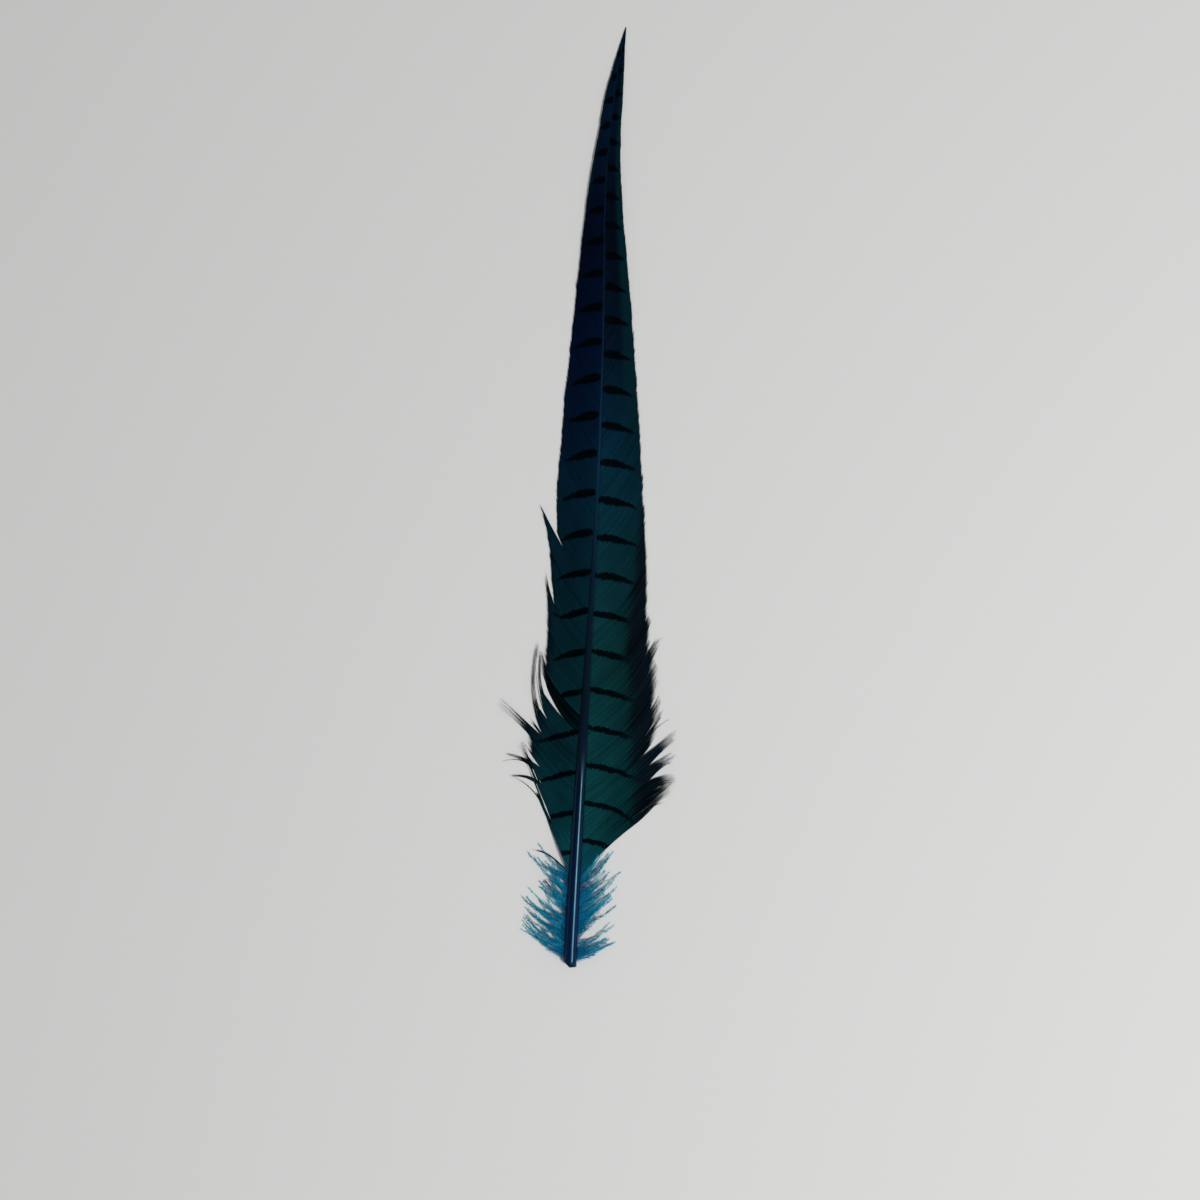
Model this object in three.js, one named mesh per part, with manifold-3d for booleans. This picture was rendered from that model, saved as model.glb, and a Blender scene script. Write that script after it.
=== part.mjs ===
import * as THREE from "three";
import { mergeVertices } from "three/addons/utils/BufferGeometryUtils.js";
import Module from "manifold-3d";

// A barred pheasant tail feather, dyed blue-green, lying face up on a flat surface.
// Millimetres: +Y runs along the shaft to the tip, +X is the wider vane's side, +Z is up.

// Whole feather
const LENGTH = 400;
const ARCH = 3;
const BOW = { middle: 3.513, lean: 0.0484, curve: 1.33e-4, twist: 4.4e-7, hook: 1.45e-3, hookFrom: 110 };

// Shaft: a round hollow quill that narrows into the slender rachis
const SHAFT = {
  end: 0.975,
  tipWidth: 0.3,
  rachisWidth: 2.1,
  quillWidth: 3.2,
  neck: 0.3,
  neckSoftness: 0.075,
};
const SHAFT_SIDES = 12;
const SHAFT_STEPS = 26;
const CUT_SLANT = 2.5;
const QUILL_HOLE = { width: 3.4, height: 2.8, depth: 9 };

// Vane: barbs that end on the feather's outline, which narrows to a blunt tip
const VANE = { from: 0.09, to: 0.985, thickness: 0.6, touchdown: 15 };
const SPREAD = { left: 42, right: 39.5 };
const LEFT_WEB_LIMIT = 18.5;
const SKIRT = {
  left: { width: 4.5, below: 0.31, over: 0.07 },
  right: { width: 1.8, below: 0.34, over: 0.04 },
};
const BLUNT_TIP = { swell: 0.3, from: 0.88, over: 0.06 };

// Barbs: degrees from the shaft, folded in at the base, each bending towards the tip
const BARB_ANGLE = { base: 52, tip: 7, close: 12 };
const BARB_FOLD = { left: 0.52, right: 0.35, over: 0.1 };
const BARB_BEND = { left: 0.3, right: 0.42 };
const LONGEST_BARB = 60;

// Locks: each is one tooth of the vane's edge, and the left vane has split open at one row
const LOCKS_PER_SIDE = 26;
const LOCK_STEPS = 5;
const NOTCH = { base: 0.12, tip: 0.03 };
const SPLIT = { row: 9, depth: 0.7 };

// Loose locks that stand out from the vane: root as a share of the length, then first and last heading
const LOOSE_LOCKS = [
  { side: -1, root: 0.398, leave: 44, end: 26, length: 42.5 },
  { side: -1, root: 0.325, leave: 49, end: 11, length: 41.5 },
  { side: -1, root: 0.232, leave: 54, end: 0, length: 46 },
  { side: -1, root: 0.214, leave: 55, end: -3, length: 55 },
  { side: -1, root: 0.196, leave: 56, end: 38, length: 51 },
  { side: -1, root: 0.164, leave: 53, end: 50, length: 41 },
  { side: -1, root: 0.139, leave: 44, end: 52, length: 38 },
  { side: 1, root: 0.262, leave: 57, end: 25, length: 47 },
  { side: 1, root: 0.178, leave: 62, end: 28, length: 50 },
  { side: 1, root: 0.158, leave: 58, end: 41, length: 54 },
  { side: 1, root: 0.14, leave: 54, end: 46, length: 51 },
  { side: 1, root: 0.124, leave: 49, end: 53, length: 51.5 },
  { side: 1, root: 0.108, leave: 46, end: 56, length: 53 },
];
const LOOSE_LOCK = { width: 4, taper: 0.7, thickness: 0.5, rise: 0.15 };

// Down at the base: soft tufts on the bare quill
const DOWN_TUFTS = [
  { side: -1, root: 0.086, leave: 59, end: 35, length: 23 },
  { side: -1, root: 0.07, leave: 61, end: 37, length: 24 },
  { side: -1, root: 0.054, leave: 65, end: 39, length: 22 },
  { side: -1, root: 0.036, leave: 66, end: 40, length: 27 },
  { side: -1, root: 0.017, leave: 74, end: 44, length: 23 },
  { side: 1, root: 0.086, leave: 58, end: 34, length: 23 },
  { side: 1, root: 0.068, leave: 60, end: 36, length: 24 },
  { side: 1, root: 0.05, leave: 64, end: 38, length: 22 },
  { side: 1, root: 0.034, leave: 62, end: 37, length: 18 },
  { side: 1, root: 0.016, leave: 80, end: 48, length: 15 },
];
const DOWN_TUFT = { width: 8, taper: 0.4, thickness: 1.6, rise: 0.1 };
const BLADE_STEPS = 6;
const BLADE_TIP_WIDTH = 0.4;

const DYED_TEAL = 0x0b3d47;

const wasm = await Module();
wasm.setup();

const smooth = (x) => THREE.MathUtils.smoothstep(x, 0, 1);
const shareAt = (y) => y / LENGTH + 0.5;
const placeOf = (share) => (share - 0.5) * LENGTH;
const handed = (side) => (side < 0 ? "left" : "right");

// The shaft's line seen from above: a gentle bow, with the tip leaning over to +X
function shaftX(y) {
  const bow = BOW.middle + BOW.lean * y - BOW.curve * y ** 2 - BOW.twist * y ** 3;
  return bow + BOW.hook * Math.max(0, y - BOW.hookFrom) ** 2;
}

function shaftWidth(share) {
  const rachis = SHAFT.rachisWidth * Math.max(0, 1 - share) ** 1.2;
  const quill = SHAFT.quillWidth / (1 + Math.exp((share - SHAFT.neck) / SHAFT.neckSoftness));
  return SHAFT.tipWidth + rachis + quill;
}

const shaftHeight = (share) => 0.8 * shaftWidth(share) + 0.3;

// Height of the shaft's underside: the feather arches between its quill and its tip
const belly = (share) => ARCH * 4 * share * (1 - share);

// Height of the vane's underside: it leaves the shaft's side and falls to the surface
function vaneFloor(out, share) {
  const inside = THREE.MathUtils.clamp(share, 0, 1);
  const root = belly(inside) + 0.6 * shaftHeight(inside) - VANE.thickness / 2;
  return Math.max(0, root) * (1 - smooth(Math.abs(out) / VANE.touchdown));
}

// The outline, out from the shaft: it widens evenly from the tip, the left web up to its limit, to a skirt
function vaneWidth(side, share) {
  const blunt = 1 + BLUNT_TIP.swell * smooth((share - BLUNT_TIP.from) / BLUNT_TIP.over);
  const line = SPREAD[handed(side)] * Math.max(0, 1 - share) * blunt;
  const web = side < 0 ? line / (1 + (line / LEFT_WEB_LIMIT) ** 6) ** (1 / 6) : line;
  const skirt = SKIRT[handed(side)];
  return web + skirt.width * smooth((skirt.below - share) / skirt.over);
}

// A barb is an arc that leaves the shaft at one heading and ends at another
function barbPoint({ root, leave, end, length }, reach) {
  const start = THREE.MathUtils.degToRad(leave);
  const turn = THREE.MathUtils.degToRad(end) - start;
  const heading = start + turn * reach;
  return {
    out: (length * (Math.cos(start) - Math.cos(heading))) / turn,
    along: placeOf(root) + (length * (Math.sin(heading) - Math.sin(start))) / turn,
    heading,
  };
}

// A barb of the vane, folded in at the base and closed up at the tip, that ends on the outline
function vaneBarb(side, root) {
  const fold = BARB_FOLD[handed(side)] * (1 - smooth((root - VANE.from) / BARB_FOLD.over));
  const open = THREE.MathUtils.lerp(BARB_ANGLE.base, BARB_ANGLE.tip, root) * (1 - root ** BARB_ANGLE.close);
  const angle = open * (1 - fold);
  const bend = BARB_BEND[handed(side)];
  const barb = { root, leave: angle * (1 + bend), end: angle * (1 - bend), length: 0 };
  for (let step = LONGEST_BARB / 2; step > 0.01; step /= 2) {
    barb.length += step;
    const tip = barbPoint(barb, 1);
    if (tip.out > vaneWidth(side, shareAt(tip.along))) {
      barb.length -= step;
    }
  }
  return barb;
}

// A closed solid from a geometry class, with each of its vertices moved by the function place
function formed(geometry, place) {
  geometry.deleteAttribute("normal");
  geometry.deleteAttribute("uv");
  const positions = geometry.attributes.position;
  const point = new THREE.Vector3();
  for (let i = 0; i < positions.count; i += 1) {
    point.fromBufferAttribute(positions, i);
    place(point);
    positions.setXYZ(i, point.x, point.y, point.z);
  }
  const merged = mergeVertices(geometry, 1e-4);
  return new wasm.Manifold(
    new wasm.Mesh({
      numProp: 3,
      vertProperties: new Float32Array(merged.attributes.position.array),
      triVerts: new Uint32Array(merged.index.array),
    }),
  );
}

function shaft() {
  const tube = new THREE.CylinderGeometry(0.5, 0.5, 1, SHAFT_SIDES, SHAFT_STEPS);
  return formed(tube, (point) => {
    const share = (point.y + 0.5) * SHAFT.end;
    const y = placeOf(share);
    const cut = share === 0 ? CUT_SLANT * Math.max(0, -2 * point.x) : 0;
    const height = shaftHeight(share);
    point.set(
      shaftX(y) + point.x * shaftWidth(share),
      y + cut,
      belly(share) + (point.z + 0.5) * height,
    );
  });
}

// The open end of the hollow quill
function quillHole() {
  const plug = new THREE.CylinderGeometry(0.25, 0.5, 1, 8, 1);
  return formed(plug, (point) => {
    const y = placeOf(0) + (point.y + 0.3) * QUILL_HOLE.depth;
    const height = belly(0) + 0.5 * shaftHeight(0);
    point.set(shaftX(y) + point.x * QUILL_HOLE.width, y, height + point.z * QUILL_HOLE.height);
  });
}

// How much of its barb a row of the plate lacks: every other row lies between two locks
function notchDepth(side, row, root) {
  if (side < 0 && row === SPLIT.row) {
    return SPLIT.depth;
  }
  return row % 2 === 0 ? THREE.MathUtils.lerp(NOTCH.base, NOTCH.tip, root) : 0;
}

// Both vanes in one plate through the shaft, its rows along the barbs
function vanes() {
  const rows = 2 * LOCKS_PER_SIDE;
  const plate = new THREE.BoxGeometry(1, 1, 1, 2 * LOCK_STEPS, rows, 1);
  return formed(plate, (point) => {
    const side = point.x < 0 ? -1 : 1;
    const row = Math.round((point.y + 0.5) * rows);
    const root = THREE.MathUtils.lerp(VANE.from, VANE.to, row / rows);
    const reach = Math.abs(2 * point.x) * (1 - notchDepth(side, row, root));
    const place = barbPoint(vaneBarb(side, root), reach);
    const lift = point.z > 0 ? VANE.thickness : 0;
    point.set(
      shaftX(place.along) + side * place.out,
      place.along,
      vaneFloor(place.out, shareAt(place.along)) + lift,
    );
  });
}

// A loose lock or a tuft of down: a tapering blade that follows its own barb
function blade(barb, { width, taper, thickness, rise }) {
  const strip = new THREE.BoxGeometry(1, 1, 1, 1, BLADE_STEPS, 1);
  return formed(strip, (point) => {
    const reach = point.y + 0.5;
    const place = barbPoint(barb, reach);
    const across = barb.side * point.x * (width * (1 - reach) ** taper + BLADE_TIP_WIDTH);
    const out = place.out + across * Math.cos(place.heading);
    const along = place.along - across * Math.sin(place.heading);
    const lift = point.z > 0 ? thickness : 0;
    point.set(
      shaftX(along) + barb.side * out,
      along,
      vaneFloor(place.out, shareAt(place.along)) + rise + lift,
    );
  });
}

// The fused feather: pockets that close up between crossing locks are filled
function feather() {
  let solid = shaft().add(vanes());
  for (const lock of LOOSE_LOCKS) {
    solid = solid.add(blade(lock, LOOSE_LOCK));
  }
  for (const tuft of DOWN_TUFTS) {
    solid = solid.add(blade(tuft, DOWN_TUFT));
  }
  const skins = solid.subtract(quillHole()).decompose();
  const outside = skins.reduce((largest, skin) => (skin.volume() > largest.volume() ? skin : largest));
  const { vertProperties, triVerts } = outside.getMesh();
  const geometry = new THREE.BufferGeometry();
  geometry.setAttribute("position", new THREE.BufferAttribute(vertProperties, 3));
  geometry.setIndex(new THREE.BufferAttribute(triVerts, 1));
  geometry.computeVertexNormals();
  const material = new THREE.MeshStandardMaterial({ color: DYED_TEAL, roughness: 0.7, metalness: 0 });
  const mesh = new THREE.Mesh(geometry, material);
  mesh.name = "feather";
  return mesh;
}

const part = new THREE.Group();
part.add(feather());

export default part;
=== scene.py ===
import math

import bmesh
import bpy
import mathutils
import numpy as np
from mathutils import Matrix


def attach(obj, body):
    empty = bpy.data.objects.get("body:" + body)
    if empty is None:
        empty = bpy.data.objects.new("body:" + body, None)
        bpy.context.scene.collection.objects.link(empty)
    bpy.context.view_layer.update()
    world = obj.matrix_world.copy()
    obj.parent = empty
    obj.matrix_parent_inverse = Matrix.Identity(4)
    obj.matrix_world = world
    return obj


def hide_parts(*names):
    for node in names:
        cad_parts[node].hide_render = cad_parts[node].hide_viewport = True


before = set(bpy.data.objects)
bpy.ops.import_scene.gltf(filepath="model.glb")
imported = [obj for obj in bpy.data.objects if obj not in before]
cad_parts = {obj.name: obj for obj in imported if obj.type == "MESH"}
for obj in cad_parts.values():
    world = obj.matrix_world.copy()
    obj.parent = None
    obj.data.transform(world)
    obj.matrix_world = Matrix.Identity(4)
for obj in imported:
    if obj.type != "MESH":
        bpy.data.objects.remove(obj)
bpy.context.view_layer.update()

# The shaft: one tube of dyed horn, hollow and glossy at the quill and drawn out to a hair at the tip.
# It bows a little to one side and arches off the surface, and its foot was cut across with a slanting nick.
feather_length = 0.400
arch_height = 0.003
bow = {"middle": 0.003513, "lean": 0.0484, "curve": 0.133, "twist": 0.44, "hook": 1.45, "hook_from": 0.110}
shaft_end = 0.975
shaft_tip_width = 0.0003
rachis_width = 0.0021
rachis_taper = 1.2
quill_width = 0.0032
neck_share = 0.3
neck_softness = 0.075
shaft_flatness = 0.8
least_height = 0.0003
shaft_sides = 24
shaft_rings = 160
quill_wall = 0.26
quill_hole_depth = 0.0074
rim_round = 0.00012
cut_slant = 0.0025
cut_fade = 0.006
groove_from = 0.16
groove_depth = 0.22
groove_half = 0.4
groove_fade = 0.1
horn_grain = (2600, 40, 2600)
horn_streak = (0.9, 0.55)
horn_mottle = (140.0, 0.5)
horn_bump = {"Strength": 0.2, "Distance": 0.00005}
horn_gloss = 0.20
horn_dulling = 0.66
grain_dulling = 0.12
horn_glossy_to = 0.19
horn_dull_from = 0.245
horn_specular = 0.22
horn_sheen = (0.36, 0.85, 1.0, 1)

# Dye along the shaft: share of the length and colour
horn_dye = [
    (0.02, (0.0004, 0.0090, 0.0440)), (0.13, (0.0003, 0.0050, 0.0240)), (0.27, (0.0001, 0.0014, 0.0085)),
    (0.42, (0.0001, 0.0040, 0.0155)), (0.53, (0.0015, 0.0160, 0.0430)), (0.76, (0.0003, 0.0028, 0.0140)),
]


def smooth(x):
    x = np.clip(x, 0.0, 1.0)
    return x * x * (3.0 - 2.0 * x)


def place_of(share):
    return (share - 0.5) * feather_length


def share_at(along):
    return along / feather_length + 0.5


def shaft_x(along):
    line = bow["middle"] + bow["lean"] * along - bow["curve"] * along**2 - bow["twist"] * along**3
    return line + bow["hook"] * np.maximum(0.0, along - bow["hook_from"]) ** 2


def shaft_width(share):
    rachis = rachis_width * np.maximum(0.0, 1.0 - share) ** rachis_taper
    quill = quill_width / (1.0 + np.exp((share - neck_share) / neck_softness))
    return shaft_tip_width + rachis + quill


def shaft_height(share):
    return shaft_flatness * shaft_width(share) + least_height


def belly(share):
    return arch_height * 4.0 * share * (1.0 - share)


def object_from(name, mesh, material):
    mesh.materials.append(material)
    mesh.polygons.foreach_set("use_smooth", [True] * len(mesh.polygons))
    piece = bpy.data.objects.new(name, mesh)
    bpy.context.collection.objects.link(piece)
    return piece


def feather_piece(name, mesh, material):
    piece = object_from(name, mesh, material)
    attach(piece, "root")
    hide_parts("feather")


def new_material(name):
    material = bpy.data.materials.new(name)
    material.use_nodes = True
    nodes = material.node_tree.nodes
    return material, nodes, material.node_tree.links, nodes["Principled BSDF"]


def add_node(nodes, kind, **values):
    node = nodes.new(kind)
    for key, value in values.items():
        if hasattr(node, key):
            setattr(node, key, value)
        else:
            node.inputs[key.replace("_", " ")].default_value = value
    return node


def feed(links, socket, value):
    if isinstance(value, (int, float, tuple)):
        socket.default_value = value
    else:
        links.new(value, socket)


def maths(nodes, links, operation, *values):
    node = add_node(nodes, "ShaderNodeMath", operation=operation)
    for socket, value in zip(node.inputs, values):
        feed(links, socket, value)
    return node.outputs[0]


def blend_colours(nodes, links, share, first, second):
    node = add_node(nodes, "ShaderNodeMix", data_type="RGBA")
    for socket, value in zip((node.inputs[0], node.inputs[6], node.inputs[7]), (share, first, second)):
        feed(links, socket, value)
    return node.outputs[2]


def ramp_between(nodes, links, value, low, high):
    node = add_node(nodes, "ShaderNodeMapRange", interpolation_type="SMOOTHSTEP")
    for socket, number in zip(node.inputs[:3], (value, low, high)):
        feed(links, socket, number)
    return node.outputs[0]


def colour_ramp(nodes, links, value, stops):
    node = nodes.new("ShaderNodeValToRGB")
    links.new(value, node.inputs[0])
    ends = node.color_ramp.elements
    ends[0].position, ends[0].color = stops[0][0], (*stops[0][1], 1)
    ends[1].position, ends[1].color = stops[-1][0], (*stops[-1][1], 1)
    for place, rgb in stops[1:-1]:
        ends.new(place).color = (*rgb, 1)
    return node.outputs[0]


def toned(nodes, links, colour, tone):
    node = nodes.new("ShaderNodeHueSaturation")
    feed(links, node.inputs["Color"], colour)
    feed(links, node.inputs["Value"], tone)
    return node.outputs[0]


def dye_mottle_group():
    """Where the dye bath took well and where it took thinly: a tone that wavers about 1."""
    group = bpy.data.node_groups.new("dye_mottle", "ShaderNodeTree")
    group.interface.new_socket("Vector", in_out="INPUT", socket_type="NodeSocketVector")
    group.interface.new_socket("Scale", in_out="INPUT", socket_type="NodeSocketFloat")
    group.interface.new_socket("Amount", in_out="INPUT", socket_type="NodeSocketFloat")
    group.interface.new_socket("Tone", in_out="OUTPUT", socket_type="NodeSocketFloat")
    nodes, links = group.nodes, group.links
    inlet = nodes.new("NodeGroupInput")
    outlet = nodes.new("NodeGroupOutput")
    cloud = add_node(nodes, "ShaderNodeTexNoise", Detail=3.0, Roughness=0.55)
    links.new(inlet.outputs["Vector"], cloud.inputs["Vector"])
    links.new(inlet.outputs["Scale"], cloud.inputs["Scale"])
    waver = maths(nodes, links, "MULTIPLY_ADD", cloud.outputs[0], 2.0, -1.0)
    tone = maths(nodes, links, "MULTIPLY_ADD", waver, inlet.outputs["Amount"], 1.0)
    links.new(tone, outlet.inputs["Tone"])
    return group


dye_mottle = dye_mottle_group()


def mottle(nodes, links, vector, scale, amount):
    node = add_node(nodes, "ShaderNodeGroup", node_tree=dye_mottle, Scale=scale, Amount=amount)
    links.new(vector, node.inputs["Vector"])
    return node.outputs["Tone"]


def shaft_place(x, y, z):
    share = (z + 0.5) * shaft_end
    along = place_of(share)
    groove = groove_depth * smooth((share - groove_from) / groove_fade) * math.exp(-((x / groove_half) ** 2))
    up = y + groove if y < 0 else y
    slant = cut_slant * max(0.0, -x) * (1.0 - smooth(share / cut_fade))
    return (
        shaft_x(along) + 0.5 * x * shaft_width(share),
        along + slant,
        belly(share) + 0.5 * shaft_height(share) * (1.0 + up),
    )


def shaft_mesh():
    bm = bmesh.new()
    bmesh.ops.create_cone(bm, cap_ends=True, segments=shaft_sides, radius1=1, radius2=1, depth=1)
    long_edges = [e for e in bm.edges if abs(e.verts[0].co.z - e.verts[1].co.z) > 0.5]
    bmesh.ops.subdivide_edges(bm, edges=long_edges, cuts=shaft_rings, use_grid_fill=True)
    cut_face = min(bm.faces, key=lambda f: f.calc_center_median().z)
    rim = list(cut_face.edges)
    bmesh.ops.inset_individual(bm, faces=[cut_face], thickness=quill_wall)
    rim += list(cut_face.edges)
    hole = bmesh.ops.extrude_face_region(bm, geom=[cut_face])
    bottom = [v for v in hole["geom"] if isinstance(v, bmesh.types.BMVert)]
    bmesh.ops.translate(bm, verts=bottom, vec=(0, 0, quill_hole_depth / feather_length))
    bmesh.ops.delete(bm, geom=[cut_face], context="FACES_ONLY")
    for vert in bm.verts:
        vert.co = shaft_place(*vert.co)
    bmesh.ops.bevel(bm, geom=rim, offset=rim_round, segments=2, profile=0.5, affect="EDGES", material=-1)
    bmesh.ops.recalc_face_normals(bm, faces=bm.faces)
    mesh = bpy.data.meshes.new("shaft")
    bm.to_mesh(mesh)
    bm.free()
    return mesh


def horn_material():
    material, nodes, links, shader = new_material("dyed_horn")
    spot = nodes.new("ShaderNodeTexCoord").outputs["Object"]
    stretch = add_node(nodes, "ShaderNodeMapping", Scale=horn_grain)
    links.new(spot, stretch.inputs["Vector"])
    grain = add_node(nodes, "ShaderNodeTexNoise", Scale=1.0, Detail=4.0, Roughness=0.6)
    links.new(stretch.outputs[0], grain.inputs["Vector"])
    split = nodes.new("ShaderNodeSeparateXYZ")
    links.new(spot, split.inputs[0])
    along = maths(nodes, links, "MULTIPLY_ADD", split.outputs["Y"], 1.0 / feather_length, 0.5)
    colour = colour_ramp(nodes, links, along, horn_dye)
    streak = maths(nodes, links, "MULTIPLY_ADD", grain.outputs[0], *horn_streak)
    tone = maths(nodes, links, "MULTIPLY", streak, mottle(nodes, links, spot, *horn_mottle))
    links.new(toned(nodes, links, colour, tone), shader.inputs["Base Color"])
    dull = ramp_between(nodes, links, along, horn_glossy_to, horn_dull_from)
    dull = maths(nodes, links, "MULTIPLY_ADD", dull, horn_dulling, horn_gloss)
    dull = maths(nodes, links, "MULTIPLY_ADD", grain.outputs[0], grain_dulling, dull)
    links.new(dull, shader.inputs["Roughness"])
    bump = add_node(nodes, "ShaderNodeBump", **horn_bump)
    links.new(grain.outputs[0], bump.inputs["Height"])
    links.new(bump.outputs[0], shader.inputs["Normal"])
    shader.inputs["Specular IOR Level"].default_value = horn_specular
    shader.inputs["Specular Tint"].default_value = horn_sheen
    return material


feather_piece("shaft", shaft_mesh(), horn_material())

# The vanes: close rows of dyed barbs that grow from both sides of the shaft and zip into one flat web.
# Lower down the web has come undone: whole locks have parted and curl away, with dark hair-like tips.
vane_from = 0.09
vane_to = 0.985
vane_spread = {-1: 0.0420, 1: 0.0395}
left_web_limit = 0.0185
limit_sharpness = 6
full_tip = {"gain": 0.3, "from": 0.88, "over": 0.06}
vane_skirt = {-1: (0.0045, 0.31, 0.07), 1: (0.0018, 0.34, 0.04)}
vane_thickness = 0.0006
least_width = 0.0005
touchdown = 0.015

# Single barbs: how they leave the shaft, bend, overlap and end in a hair
longest_barb = 0.06
foot_angle = 52.0
angle_fall = 45.0
tip_closing = 12
least_heading = 0.05
barb_fold = {-1: 0.52, 1: 0.35}
fold_over = 0.1
barb_seat = 0.6
barb_gap = 0.0005
barb_rings = 20
ring_crowding = 1.5
barb_bend = {-1: 0.30, 1: 0.42}
barb_overlap = 1.4
barb_tilt = 0.00008
barb_thickness = 0.00007
barb_extra = 0.00003
barb_uneven = 0.00003
taper_from = 0.96
loose_taper = 0.12
hair_half = 0.00006
hair_tip = 0.00002

# How the barbs cling in locks, and how far a lock sways, parts and stretches where the web is loose or frayed
lock_barbs = (6, 16)
loose_to = 0.13
loose_fade = 0.25
frayed_over = 0.05
parting = {"zipped": 0.93, "loose": 0.11, "frayed": 0.25}
lock_waver = {"zipped": 0.6, "loose": 3.0, "frayed": 6.0}
barb_waver = {"zipped": 0.8, "loose": 2.0, "frayed": 3.0}
lock_stretch = {"zipped": 0.01, "loose": 0.02, "frayed": 0.06}
barb_stretch = {"zipped": 0.01, "loose": 0.02}
stretch_power = 6
lock_rise = 0.0006
web_cling = 0.15
loose_cling = 0.2
tip_release = {"share": 0.5, "from": 0.8, "over": 0.2}
stray_share = 0.06
stray_turn = (10.0, 40.0)
lock_tint = 0.07
zipped_tint = 0.4
tint_spread = 0.13
shaded_roots = (0.243, 0.262)
lock_shadow = 0.85

# Bars: how far apart they stand along the shaft, and how they slant and curl on their way out
bar_gap = {-1: 0.0170, 1: 0.01596}
bar_anchor = {-1: 0.335, 1: 0.2947}
upper_squeeze = {-1: 0.023, 1: 0.0}
squeeze_from = 0.36
squeeze_over = 0.05
tip_crowding = 0.33
crowd_from = 0.5
crowd_over = 0.39
crowd_limit = 1.4
crowd_power = 1.5
slant_from = {-1: 0.36, 1: 0.28}
slant_fade = 0.2
bar_slant = 0.24
bar_rise = 0.04
bar_curl = 0.28
curl_loss = 0.2
bar_waver = 0.012
bar_width = 0.052
bar_widening = 0.09
bar_edge = 0.016
bar_shift = 100.5
bar_swell = (0.5, 0.6)
bar_swell_band = (0.0, 0.2)
bar_taper = (-0.65, 1.0)
bar_taper_band = (0.35, 0.85)
bar_fade_band = (0.92, 0.76)
bar_strength = 0.96
bar_colour = (0.0002, 0.0008, 0.0018, 1)

# Dyed barbs: their shading from the shaft outwards, the fringe and rim, and the grain of the fibre
root_light = 1.16
upper_shade = 0.32
shade_from = (0.3, 0.5)
fringe_colour = (0.0016, 0.0062, 0.0110, 1)
fringe_end = 1.1
fringe_band = (-0.06, 0.12)
fringe_sway = 0.25
fringe_tints = (2.5, 1.0)
least_fringe_tone = 0.3
zipped_band = (0.32, 0.58)
rim_strength = 0.8
fibre_run = 900.0
fibre_shift = 400.0
fibre_streak = (0.5, 0.75)
fibre_bump = {"Strength": 0.25, "Distance": 0.00004}
fibre_roughness = (0.2, 0.42)
barb_mottle = (70.0, 0.35)
bar_mottle = (210.0, 0.05)
barb_specular = 0.015

# Locks that have parted: the roots from one side to the other, where on the barb it begins, turn outwards
# and extra length. A wide one parts at its second root and stays zipped at its first.
wide_lock = 0.03
parted_cling = 0.7
parted_hair_from = 0.7
parted_hair_over = 0.3
parted_uneven = (0.85, 1.05)
parted_locks = {
    -1: [
        (0.358, 0.401, 0.40, 4, 0.39),
        (0.440, 0.401, 0.60, -4, -0.10),
        (0.290, 0.332, 0.50, -14, 0.40),
        (0.366, 0.332, 0.60, -5, -0.20),
        (0.243, 0.262, 0.10, -12, 0.30),
        (0.090, 0.243, 0.10, 5, 0.00),
        (0.224, 0.240, 0.64, -38, 0.60),
        (0.206, 0.222, 0.70, -42, 0.86),
        (0.188, 0.203, 0.72, 18, 0.46),
        (0.157, 0.169, 0.60, 44, 0.16),
        (0.132, 0.144, 0.55, 74, -0.08),
        (0.104, 0.116, 0.30, 6, 0.00),
        (0.094, 0.102, 0.15, 10, -0.22),
        (0.0925, 0.0935, -0.20, 66, -0.72),
    ],
    1: [
        (0.230, 0.262, 0.75, 6, 0.16),
        (0.172, 0.183, 0.80, 6, 0.02),
        (0.172, 0.089, 0.15, 46, -0.10),
        (0.147, 0.165, 0.60, 18, 0.04),
        (0.1275, 0.147, 0.60, 14, -0.08),
        (0.1095, 0.1275, 0.60, 22, -0.13),
        (0.090, 0.1095, 0.60, -4, -0.18),
    ],
}


def vane_floor(out, share):
    inside = np.clip(share, 0.0, 1.0)
    root = belly(inside) + barb_seat * shaft_height(inside) - 0.5 * vane_thickness
    return np.maximum(0.0, root) * (1.0 - smooth(np.abs(out) / touchdown))


def barb_angle(side, root):
    angle = np.radians(foot_angle - angle_fall * root) * (1.0 - root**tip_closing)
    folded = barb_fold[side] * (1.0 - smooth((root - vane_from) / fold_over))
    return angle * (1.0 - folded)


def vane_width(side, share):
    blunt = 1.0 + full_tip["gain"] * smooth((share - full_tip["from"]) / full_tip["over"])
    line = vane_spread[side] * np.maximum(1.0 - share, 0.0) * blunt
    if side < 0:
        line = line / (1.0 + (line / left_web_limit) ** limit_sharpness) ** (1.0 / limit_sharpness)
    skirt, below, over = vane_skirt[side]
    return line + skirt * smooth((below - share) / over)


def barb_length(side, root, heading, reach):
    out, along = swept(root, heading, reach, np.ones(len(root)))
    across, onward = out[:, -1], along[:, -1] - place_of(root)
    short, long = np.zeros(len(root)), np.full(len(root), longest_barb)
    for _ in range(30):
        middle = 0.5 * (short + long)
        inside = middle * across < vane_width(side, root + middle * onward / feather_length)
        short = np.where(inside, middle, short)
        long = np.where(inside, long, middle)
    return short


def bar_number(side, share):
    steps = np.linspace(0.0, 1.1, 2200)
    gap = bar_gap[side] * (1.0 - upper_squeeze[side] * smooth((steps - squeeze_from) / squeeze_over))
    crowding = np.clip((steps - crowd_from) / crowd_over, 0.0, crowd_limit) ** crowd_power
    gap = gap * (1.0 - tip_crowding * crowding)
    count = np.concatenate([[0.0], np.cumsum(np.diff(steps) * feather_length / gap[1:])])
    return np.interp(share, steps, count) - np.interp(bar_anchor[side], steps, count)


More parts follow.
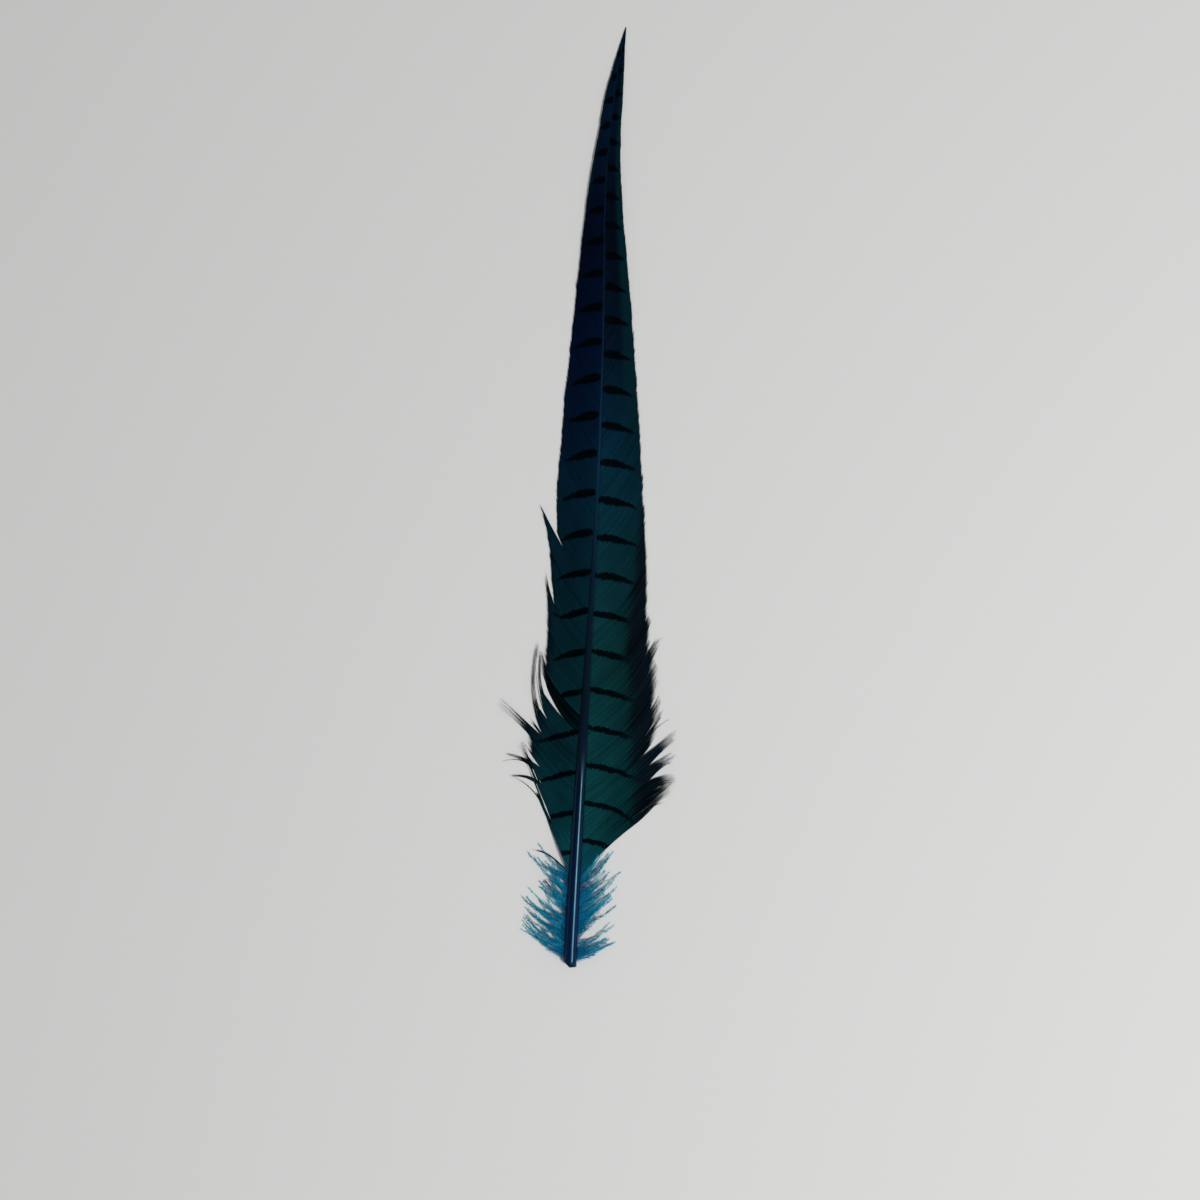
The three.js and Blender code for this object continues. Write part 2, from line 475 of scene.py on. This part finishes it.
def swept(root, heading, reach, length):
    step = length[:, None] * np.diff(reach, axis=1)
    middle = 0.5 * (heading[:, 1:] + heading[:, :-1])
    start = np.zeros((len(root), 1))
    out = np.concatenate([start, np.cumsum(np.sin(middle) * step, axis=1)], axis=1)
    along = np.concatenate([start, np.cumsum(np.cos(middle) * step, axis=1)], axis=1)
    return out, along + place_of(root)[:, None]


def strand_mesh(name, corners, numbers):
    strands, rings, sides, _ = corners.shape
    index = np.arange(strands * rings * sides).reshape(strands, rings, sides)
    beside = np.roll(index, -1, axis=2)
    walls = np.stack([index[:, :-1], beside[:, :-1], beside[:, 1:], index[:, 1:]], axis=-1).reshape(-1, 4)
    ends = np.concatenate([index[:, 0, ::-1], index[:, -1, :]])
    mesh = bpy.data.meshes.new(name)
    mesh.from_pydata(corners.reshape(-1, 3).tolist(), [], walls.tolist() + ends.tolist())
    for key, values in numbers.items():
        layer = mesh.attributes.new(key, "FLOAT", "POINT")
        spread = np.broadcast_to(values[..., None], corners.shape[:3])
        layer.data.foreach_set("value", np.ascontiguousarray(spread, dtype=np.float32).ravel())
    bm = bmesh.new()
    bm.from_mesh(mesh)
    bmesh.ops.recalc_face_normals(bm, faces=bm.faces)
    bm.to_mesh(mesh)
    bm.free()

    # Seen from above the strands lie side by side and seldom cross, so that view serves as the map
    plan = corners.reshape(-1, 3)[:, :2]
    plan = (plan - plan.min(axis=0)) / np.ptp(plan, axis=0)
    corner_verts = np.empty(len(mesh.loops), dtype=np.int32)
    mesh.loops.foreach_get("vertex_index", corner_verts)
    layer = mesh.uv_layers.new(name="OFBake")
    layer.data.foreach_set("uv", plan[corner_verts].astype(np.float32).ravel())
    return mesh


def vane_mesh(name, side, seed):
    draw = np.random.default_rng(seed)
    count = int((vane_to - vane_from) * feather_length / barb_gap)
    root = np.linspace(vane_from, vane_to, count)
    reach = 1.0 - (1.0 - np.linspace(0.0, 1.0, barb_rings)[None, :]) ** ring_crowding
    loose = 1.0 - smooth((root - loose_to) / loose_fade)
    frayed = 1.0 - smooth((root - vane_from) / frayed_over)

    # As grown: the whole web, which carries the markings
    grown_heading = barb_angle(side, root)[:, None] * (1.0 + barb_bend[side] * (1.0 - 2.0 * reach))
    length = barb_length(side, root, grown_heading, reach)
    grown_out, grown_along = swept(root, grown_heading, reach, length)
    grown_share = share_at(grown_along)
    width = vane_width(side, grown_share)
    out_share = grown_out / np.maximum(width, least_width)
    slanting = 1.0 - smooth((grown_share - slant_from[side]) / slant_fade)
    curling = (bar_curl - curl_loss * slanting) * out_share
    drop = width * out_share * (bar_slant * slanting - bar_rise + curling)
    bars = bar_number(side, share_at(grown_along + drop)) + draw.normal(0.0, bar_waver, count)[:, None]

    # As it lies: short locks that cling at their tips, and the longer ones that have parted
    edges = {0, count}
    place = 0
    while place < count:
        edges.add(place)
        place += int(draw.integers(*lock_barbs))
    for first, last, *_ in parted_locks[side]:
        lower, upper = np.searchsorted(root, sorted((first, last))).tolist()
        if upper - lower < wide_lock * feather_length / barb_gap:
            edges -= set(range(lower, upper))
        edges |= {lower, upper}
    edges = np.array(sorted(edges))
    lock = np.searchsorted(edges, np.arange(count), side="right") - 1
    centre = ((edges[:-1] + edges[1:]) // 2)[lock]
    locks = len(edges) - 1
    part_from = (parting["zipped"] - parting["loose"] * loose - parting["frayed"] * frayed)[:, None]
    lock_sway = lock_waver["zipped"] + lock_waver["loose"] * loose**2 + lock_waver["frayed"] * frayed
    barb_sway = barb_waver["zipped"] + barb_waver["loose"] * loose + barb_waver["frayed"] * frayed
    turn = draw.normal(0.0, 1.0, locks)[lock] * np.radians(lock_sway)
    turn = turn + draw.normal(0.0, 1.0, count) * np.radians(barb_sway)
    stray = draw.random(count) < stray_share * loose
    turn = turn + stray * np.radians(draw.uniform(*stray_turn, count))
    onset = np.clip((reach - part_from) / (1.0 - part_from), 0.0, 1.0)
    heading = grown_heading + turn[:, None] * onset
    cling = web_cling + loose_cling * loose
    hair = onset.copy()
    lock_pull = lock_stretch["zipped"] + lock_stretch["loose"] * loose + lock_stretch["frayed"] * frayed
    barb_pull = barb_stretch["zipped"] + barb_stretch["loose"] * loose
    stretch = 1.0 + draw.normal(0.0, 1.0, locks)[lock] * lock_pull
    stretch = stretch * (1.0 + draw.normal(0.0, 1.0, count) * barb_pull)
    drawn_reach = reach + (stretch[:, None] - 1.0) * reach**stretch_power
    for first, last, start, degrees, extra in parted_locks[side]:
        rank = ((root - first) / (last - first))[:, None]
        member = (rank >= 0.0) & (rank < 1.0)
        onset = np.clip((reach - start) / (1.0 - start), 0.0, 1.0)
        if abs(last - first) < wide_lock:
            lead = member
            cling = np.where(member[:, 0], parted_cling, cling)
            parted_hair = np.clip((reach - parted_hair_from) / parted_hair_over, 0.0, 1.0)
            hair = np.where(member, np.maximum(hair, parted_hair), hair)
        else:
            lead = member * rank
        heading += np.radians(degrees) * onset * lead
        drawn_reach = drawn_reach + extra * onset**2 * lead**2 * draw.uniform(*parted_uneven, (count, 1))
    out, along = swept(root, heading, drawn_reach, length)
    released = tip_release["share"] * smooth((reach - tip_release["from"]) / tip_release["over"])
    gather = np.where(stray, 0.0, cling)[:, None] * smooth(hair) * (1.0 - released)
    out += (out[centre] - out) * gather
    along += (along[centre] - along) * gather

    web_half = 0.5 * barb_gap * barb_overlap * np.sin(np.maximum(heading, least_heading)) + barb_extra
    half = web_half + (hair_half - web_half) * smooth(hair)
    tip_from = (taper_from - loose_taper * loose)[:, None]
    half = half + (hair_tip - half) * smooth((reach - tip_from) / (1.0 - tip_from))
    lock_lift = np.abs(draw.normal(0.0, lock_rise, locks))[lock] * loose
    lift = 0.5 * vane_thickness + lock_lift[:, None] * reach**2
    lift = lift + draw.normal(0.0, barb_uneven, count)[:, None]
    across_out, across_along = half * np.cos(heading), -half * np.sin(heading)
    rows = []
    for edge, rise in ((1, -barb_tilt), (0, barb_thickness), (-1, barb_tilt), (0, -barb_thickness)):
        o = out + edge * across_out
        a = along + edge * across_along
        rows.append(np.stack([shaft_x(a) + side * o, a, vane_floor(o, share_at(a)) + lift + rise], axis=-1))

    tint = draw.normal(0.0, lock_tint, locks)[lock] * (zipped_tint + loose)
    tint = tint + draw.normal(0.0, tint_spread, count)
    if side < 0:
        tint = tint - lock_shadow * ((root > shaded_roots[0]) & (root < shaded_roots[1]))
    numbers = {
        "out_share": out_share,
        "bar_number": bars,
        "along_share": grown_share,
        "barb_run": reach * length[:, None],
        "barb_tint": tint[:, None] + 0.0 * out,
    }
    return strand_mesh(name, np.stack(rows, axis=2), numbers)


def attribute(nodes, name):
    return add_node(nodes, "ShaderNodeAttribute", attribute_name=name).outputs["Fac"]


def barb_material(name, ground_stops, rim_band, fringe_from, shade):
    material, nodes, links, shader = new_material(name)
    out = attribute(nodes, "out_share")
    number = attribute(nodes, "bar_number")
    along = attribute(nodes, "along_share")
    run = attribute(nodes, "barb_run")
    tint = attribute(nodes, "barb_tint")
    spot = nodes.new("ShaderNodeTexCoord").outputs["Object"]

    # Ground colour: turquoise at the foot, green-blue in the middle and navy towards the tip
    strand = nodes.new("ShaderNodeCombineXYZ")
    links.new(maths(nodes, links, "MULTIPLY", run, fibre_run), strand.inputs[0])
    links.new(maths(nodes, links, "MULTIPLY", tint, fibre_shift), strand.inputs[1])
    fibre = add_node(nodes, "ShaderNodeTexNoise", Scale=1.0, Detail=3.0)
    links.new(strand.outputs[0], fibre.inputs["Vector"])
    tone = maths(nodes, links, "ADD", tint, mottle(nodes, links, spot, *barb_mottle))
    streak = maths(nodes, links, "MULTIPLY_ADD", fibre.outputs[0], *fibre_streak)
    tone = maths(nodes, links, "MULTIPLY", tone, streak)
    upper = ramp_between(nodes, links, along, *shade_from)
    slope = maths(nodes, links, "MULTIPLY_ADD", upper, shade - upper_shade, -shade)
    tone = maths(nodes, links, "MULTIPLY", tone, maths(nodes, links, "MULTIPLY_ADD", out, slope, root_light))
    ground = toned(nodes, links, colour_ramp(nodes, links, along, ground_stops), tone)

    # A thin pale rim on the upper web, and a dark loose fringe that widens towards the foot
    rim_colour, rim_out, rim_along = rim_band
    rim = maths(nodes, links, "MULTIPLY", ramp_between(nodes, links, out, *rim_out),
                ramp_between(nodes, links, along, *rim_along))
    rim = maths(nodes, links, "MULTIPLY", rim, rim_strength)
    ground = blend_colours(nodes, links, rim, ground, rim_colour)
    zipped = ramp_between(nodes, links, along, *zipped_band)
    fringe_edge = maths(nodes, links, "MULTIPLY_ADD", zipped, fringe_end - fringe_from, fringe_from)
    fringe_edge = maths(nodes, links, "ADD", fringe_edge, maths(nodes, links, "MULTIPLY", tint, fringe_sway))
    fringe = ramp_between(nodes, links, maths(nodes, links, "SUBTRACT", out, fringe_edge), *fringe_band)
    fringe_tone = maths(nodes, links, "MULTIPLY_ADD", tint, *fringe_tints)
    fringe_tone = maths(nodes, links, "MAXIMUM", fringe_tone, least_fringe_tone)
    fringed = toned(nodes, links, fringe_colour, fringe_tone)
    colour = blend_colours(nodes, links, fringe, ground, fringed)

    # Bars: dark steps across the barbs, thinner outwards, that fade into the fringe
    waver = mottle(nodes, links, spot, *bar_mottle)
    number = maths(nodes, links, "ADD", number, maths(nodes, links, "SUBTRACT", waver, 1.0))
    place = maths(nodes, links, "FRACT", maths(nodes, links, "ADD", number, bar_shift))
    away = maths(nodes, links, "ABSOLUTE", maths(nodes, links, "SUBTRACT", place, 0.5))
    width = maths(nodes, links, "MULTIPLY_ADD", along, bar_widening, bar_width)
    swell = ramp_between(nodes, links, out, *bar_swell_band)
    swell = maths(nodes, links, "MULTIPLY_ADD", swell, *bar_swell)
    taper = ramp_between(nodes, links, out, *bar_taper_band)
    taper = maths(nodes, links, "MULTIPLY_ADD", taper, *bar_taper)
    width = maths(nodes, links, "MULTIPLY", width, maths(nodes, links, "MULTIPLY", swell, taper))
    bar = ramp_between(nodes, links, maths(nodes, links, "SUBTRACT", width, away), -bar_edge, bar_edge)
    bar = maths(nodes, links, "MULTIPLY", bar, maths(nodes, links, "SUBTRACT", 1.0, fringe))
    bar = maths(nodes, links, "MULTIPLY", bar, ramp_between(nodes, links, out, *bar_fade_band))
    bar = maths(nodes, links, "MULTIPLY", bar, bar_strength)
    colour = blend_colours(nodes, links, bar, colour, bar_colour)

    links.new(colour, shader.inputs["Base Color"])
    dull = maths(nodes, links, "MULTIPLY_ADD", fibre.outputs[0], *fibre_roughness)
    links.new(dull, shader.inputs["Roughness"])
    bump = add_node(nodes, "ShaderNodeBump", **fibre_bump)
    links.new(fibre.outputs[0], bump.inputs["Height"])
    links.new(bump.outputs[0], shader.inputs["Normal"])
    shader.inputs["Specular IOR Level"].default_value = barb_specular
    return material


# Both sides follow the dye from turquoise at the foot to navy at the tip. On top of that, the left vane has
# painted shade, because it is the side turned from the light, and the right vane has painted light, because
# it is the side facing it.
left_dye_and_painted_shade = [
    (0.10, (0.0020, 0.0620, 0.0900)), (0.15, (0.0012, 0.0260, 0.0340)), (0.32, (0.0013, 0.0165, 0.0225)),
    (0.50, (0.0009, 0.0132, 0.0265)), (0.56, (0.0007, 0.0080, 0.0230)), (0.66, (0.0004, 0.0046, 0.0190)),
    (0.78, (0.0005, 0.0028, 0.0110)), (0.92, (0.0009, 0.0085, 0.0240)),
]
right_dye_and_painted_light = [
    (0.10, (0.0022, 0.0640, 0.0900)), (0.15, (0.0022, 0.0430, 0.0500)), (0.32, (0.0026, 0.0360, 0.0400)),
    (0.50, (0.0015, 0.0250, 0.0420)), (0.56, (0.0011, 0.0189, 0.0380)), (0.66, (0.0006, 0.0066, 0.0170)),
    (0.78, (0.0004, 0.0034, 0.0100)), (0.92, (0.0007, 0.0062, 0.0200)),
]
left_rim = ((0.0010, 0.0120, 0.0190, 1), (0.74, 0.90), (0.78, 0.86))
right_rim = ((0.0014, 0.0200, 0.0280, 1), (0.50, 0.78), (0.50, 0.64))
# Lit and shaded copies of one barb material, one per vane: painted shade on the left, painted light on the
# right.
left_barbs_painted_shade = barb_material("dyed_barbs_left_painted_shade", left_dye_and_painted_shade, left_rim, 0.80, 0.32)
right_barbs_painted_light = barb_material("dyed_barbs_right_painted_light", right_dye_and_painted_light, right_rim, 0.58, 0.72)
feather_piece("left_vane", vane_mesh("left_vane", -1, 11), left_barbs_painted_shade)
feather_piece("right_vane", vane_mesh("right_vane", 1, 12), right_barbs_painted_light)

# The down: tufts of soft barbs at the foot of the shaft, each barb with fine threads down both its sides.
# It took the dye brightest, and it lies in a thin cloud that the surface shows through.
barbs_per_tuft = 15
tuft_spread = 0.010
tuft_cling = 0.35
lowest_root = 0.008
stray_down = 0.4
down_rings = 9
down_bend = 0.25
angle_spread = 0.16
wave_size = 0.1
wave_turn = 4.0
down_uneven = (0.4, 1.15)
down_seat = 0.7
down_lift = 0.0004
down_puff = 0.0022
puff_shape = 0.8
puff_from = 0.003
puff_over = 0.006
stem_radius = 0.00009
stem_taper = 0.7
stem_tints = 0.22
threads_per_barb = 112
threads_from = 0.08
thread_crowding = 1.4
thread_rings = 3
thread_length = 0.0034
thread_taper = 0.7
thread_uneven = (0.6, 1.15)
thread_lean = (6, 26)
thread_rise = 0.22
thread_curl = 0.12
thread_radius = np.array([0.00006, 0.00005, 0.000015])
thread_tints = 0.12
lowest_thread = 0.00012
down_deep = (0.0016, 0.1350, 0.3300, 1)
down_bright = (0.0120, 0.3900, 0.5400, 1)
down_mottle = (180.0, 0.5)
down_roughness = (0.1, 0.5)
down_specular = 0.08

# Tufts: root as a share of the length, angle and length
down_tufts = {
    -1: [(0.086, 50, 0.023), (0.066, 48, 0.020), (0.043, 55, 0.026), (0.028, 56, 0.022), (0.014, 58, 0.024)],
    1: [(0.086, 46, 0.022), (0.066, 48, 0.023), (0.046, 50, 0.021), (0.030, 48, 0.016), (0.013, 63, 0.019)],
}


def tube_corners(points, across, up, radius, sides=3):
    turns = 2.0 * np.pi * np.arange(sides) / sides
    ring = across[..., None, :] * np.cos(turns)[:, None] + up[..., None, :] * np.sin(turns)[:, None]
    return points[..., None, :] + radius[..., None, None] * ring


def down_meshes(name, side, seed):
    draw = np.random.default_rng(seed)
    tuft = np.repeat(np.arange(len(down_tufts[side])), barbs_per_tuft)
    tuft_root, tuft_angle, tuft_length = np.array(down_tufts[side])[tuft].T
    count = len(tuft)
    upward = np.array([0.0, 0.0, 1.0])
    reach = np.linspace(0.0, 1.0, down_rings)[None, :]
    root = np.maximum(tuft_root + draw.uniform(-tuft_spread, tuft_spread, count), lowest_root)
    angle = np.radians(tuft_angle) + draw.normal(0.0, angle_spread, count)
    heading = angle[:, None] * (1.0 + down_bend - 2.0 * down_bend * reach)
    heading = heading + wave_size * np.sin(wave_turn * reach + draw.uniform(0.0, 2.0 * np.pi, count)[:, None])
    out, along = swept(root, heading, reach, tuft_length * draw.uniform(*down_uneven, count))
    middle = tuft * barbs_per_tuft + barbs_per_tuft // 2
    cling = np.where(draw.random(count) < stray_down, 0.0, tuft_cling)[:, None] * smooth(reach)
    out += cling * (out[middle] - out)
    along += cling * (along[middle] - along)
    puff = draw.uniform(0.0, down_puff, count)[:, None] * np.sin(np.pi * reach**puff_shape)
    puff = puff * smooth((out - puff_from) / puff_over)
    height = down_seat * vane_floor(out, share_at(along)) + down_lift + puff
    barb = np.stack([shaft_x(along) + side * out, along, height], axis=-1)
    tangent = np.gradient(barb, axis=1)
    tangent /= np.linalg.norm(tangent, axis=-1, keepdims=True)
    across = np.cross(tangent, upward)
    radius = np.broadcast_to(stem_radius * (1.0 - stem_taper * reach), out.shape)
    stems = tube_corners(barb, across, np.broadcast_to(upward, tangent.shape), radius)

    spot = draw.uniform(threads_from, 1.0, (count, threads_per_barb)) ** thread_crowding
    cell = np.clip((spot * (down_rings - 1)).astype(int), 0, down_rings - 2)
    inside = (spot * (down_rings - 1) - cell)[..., None]
    row = np.arange(count)[:, None]
    base = barb[row, cell] * (1 - inside) + barb[row, cell + 1] * inside
    way = tangent[row, cell]
    hand = np.where(np.arange(threads_per_barb) % 2 == 0, 1.0, -1.0)[None, :, None]
    lean = np.radians(draw.uniform(*thread_lean, spot.shape))[..., None]
    rise = draw.normal(0.0, thread_rise, spot.shape)[..., None] * upward
    line = way * np.cos(lean) + across[row, cell] * hand * np.sin(lean) + rise
    span = thread_length * (1.0 - thread_taper * spot) * draw.uniform(*thread_uneven, spot.shape)
    span = span[..., None]
    curl = across[row, cell] * draw.normal(0.0, thread_curl, spot.shape)[..., None]
    steps = np.linspace(0.0, 1.0, thread_rings)
    threads = np.stack([base + span * (line * t + curl * t * t) for t in steps], axis=2)
    threads = threads.reshape(-1, thread_rings, 3)
    threads[..., 2] = np.maximum(threads[..., 2], lowest_thread)
    flat = np.repeat(line.reshape(-1, 1, 3), thread_rings, axis=1)
    flat = flat / np.linalg.norm(flat, axis=-1, keepdims=True)
    beside = np.cross(flat, upward)
    thin = np.broadcast_to(thread_radius, flat.shape[:2])
    fibres = tube_corners(threads, beside, np.broadcast_to(upward, flat.shape), thin)

    stem_tint = draw.normal(0.0, stem_tints, (count, 1))
    fibre_tint = np.repeat(stem_tint, threads_per_barb, axis=0)
    fibre_tint = fibre_tint + draw.normal(0.0, thread_tints, (len(fibres), 1))
    stem_numbers = {"barb_reach": reach + 0.0 * out, "barb_tint": stem_tint + 0.0 * out}
    fibre_numbers = {
        "barb_reach": np.repeat(spot.reshape(-1, 1), thread_rings, axis=1),
        "barb_tint": np.repeat(fibre_tint, thread_rings, axis=1),
    }
    return strand_mesh(name, stems, stem_numbers), strand_mesh(name + "_threads", fibres, fibre_numbers)


def down_material():
    material, nodes, links, shader = new_material("dyed_down")
    spot = nodes.new("ShaderNodeTexCoord").outputs["Object"]
    colour = blend_colours(nodes, links, attribute(nodes, "barb_reach"), down_deep, down_bright)
    cloudy = mottle(nodes, links, spot, *down_mottle)
    tone = maths(nodes, links, "ADD", attribute(nodes, "barb_tint"), cloudy)
    links.new(toned(nodes, links, colour, tone), shader.inputs["Base Color"])
    dull = maths(nodes, links, "MULTIPLY_ADD", tone, *down_roughness)
    links.new(dull, shader.inputs["Roughness"])
    shader.inputs["Specular IOR Level"].default_value = down_specular
    return material


fluff = down_material()
for down_name, down_side, down_seed in (("left_down", -1, 21), ("right_down", 1, 22)):
    for down_mesh in down_meshes(down_name, down_side, down_seed):
        feather_piece(down_mesh.name, down_mesh, fluff)

# The stage: a plain pale table top, soft daylight from the right and a camera straight above.
# The feather takes up as many points of the picture as it does in the photo.
table_size = 3.0
table_grey = (0.655, 0.66, 0.65, 1)
table_roughness = 0.7
table_specular = 0.1
lamp_place = (1.2, -0.66, 2.2)
lamp_size = (0.5, 0.5)
lamp_power = 58
horizon_glow = (0.70, 0.70, 0.70, 1)
zenith_glow = (0.12, 0.12, 0.12, 1)
glow_band = (0.1, 0.65)
camera_lens = 50
camera_sensor = 36
feather_pixels = 940
metres_per_pixel = feather_length / feather_pixels
photo_middle = (600, 600)
feather_middle = (588.71, 495)
photo_pixels = 1200


def table_top():
    bm = bmesh.new()
    bmesh.ops.create_grid(bm, x_segments=1, y_segments=1, size=table_size)
    mesh = bpy.data.meshes.new("table_top")
    bm.to_mesh(mesh)
    bm.free()
    material, _, _, shader = new_material("pale_table")
    shader.inputs["Base Color"].default_value = table_grey
    shader.inputs["Roughness"].default_value = table_roughness
    shader.inputs["Specular IOR Level"].default_value = table_specular
    object_from("table_top", mesh, material)


def daylight():
    light = bpy.data.lights.new("window", "AREA")
    light.shape = "RECTANGLE"
    light.size, light.size_y = lamp_size
    light.energy = lamp_power
    lamp = bpy.data.objects.new("window", light)
    bpy.context.collection.objects.link(lamp)
    lamp.location = lamp_place
    lamp.rotation_euler = mathutils.Vector(lamp_place).to_track_quat("Z", "Y").to_euler()


def soft_room():
    world = bpy.data.worlds.new("soft_room")
    bpy.context.scene.world = world
    world.use_nodes = True
    nodes, links = world.node_tree.nodes, world.node_tree.links
    split = nodes.new("ShaderNodeSeparateXYZ")
    links.new(nodes.new("ShaderNodeTexCoord").outputs["Generated"], split.inputs[0])
    height = ramp_between(nodes, links, split.outputs["Z"], *glow_band)
    glow = blend_colours(nodes, links, height, horizon_glow, zenith_glow)
    links.new(glow, nodes["Background"].inputs["Color"])


def overhead_camera():
    camera_data = bpy.data.cameras.new("camera")
    camera_data.lens = camera_lens
    camera_data.sensor_width = camera_sensor
    camera = bpy.data.objects.new("camera", camera_data)
    bpy.context.collection.objects.link(camera)
    camera.location = (
        (photo_middle[0] - feather_middle[0]) * metres_per_pixel,
        (feather_middle[1] - photo_middle[1]) * metres_per_pixel,
        photo_pixels * metres_per_pixel * camera_lens / camera_sensor,
    )
    bpy.context.scene.camera = camera


table_top()
daylight()
soft_room()
overhead_camera()
bpy.context.scene.view_settings.view_transform = "Standard"
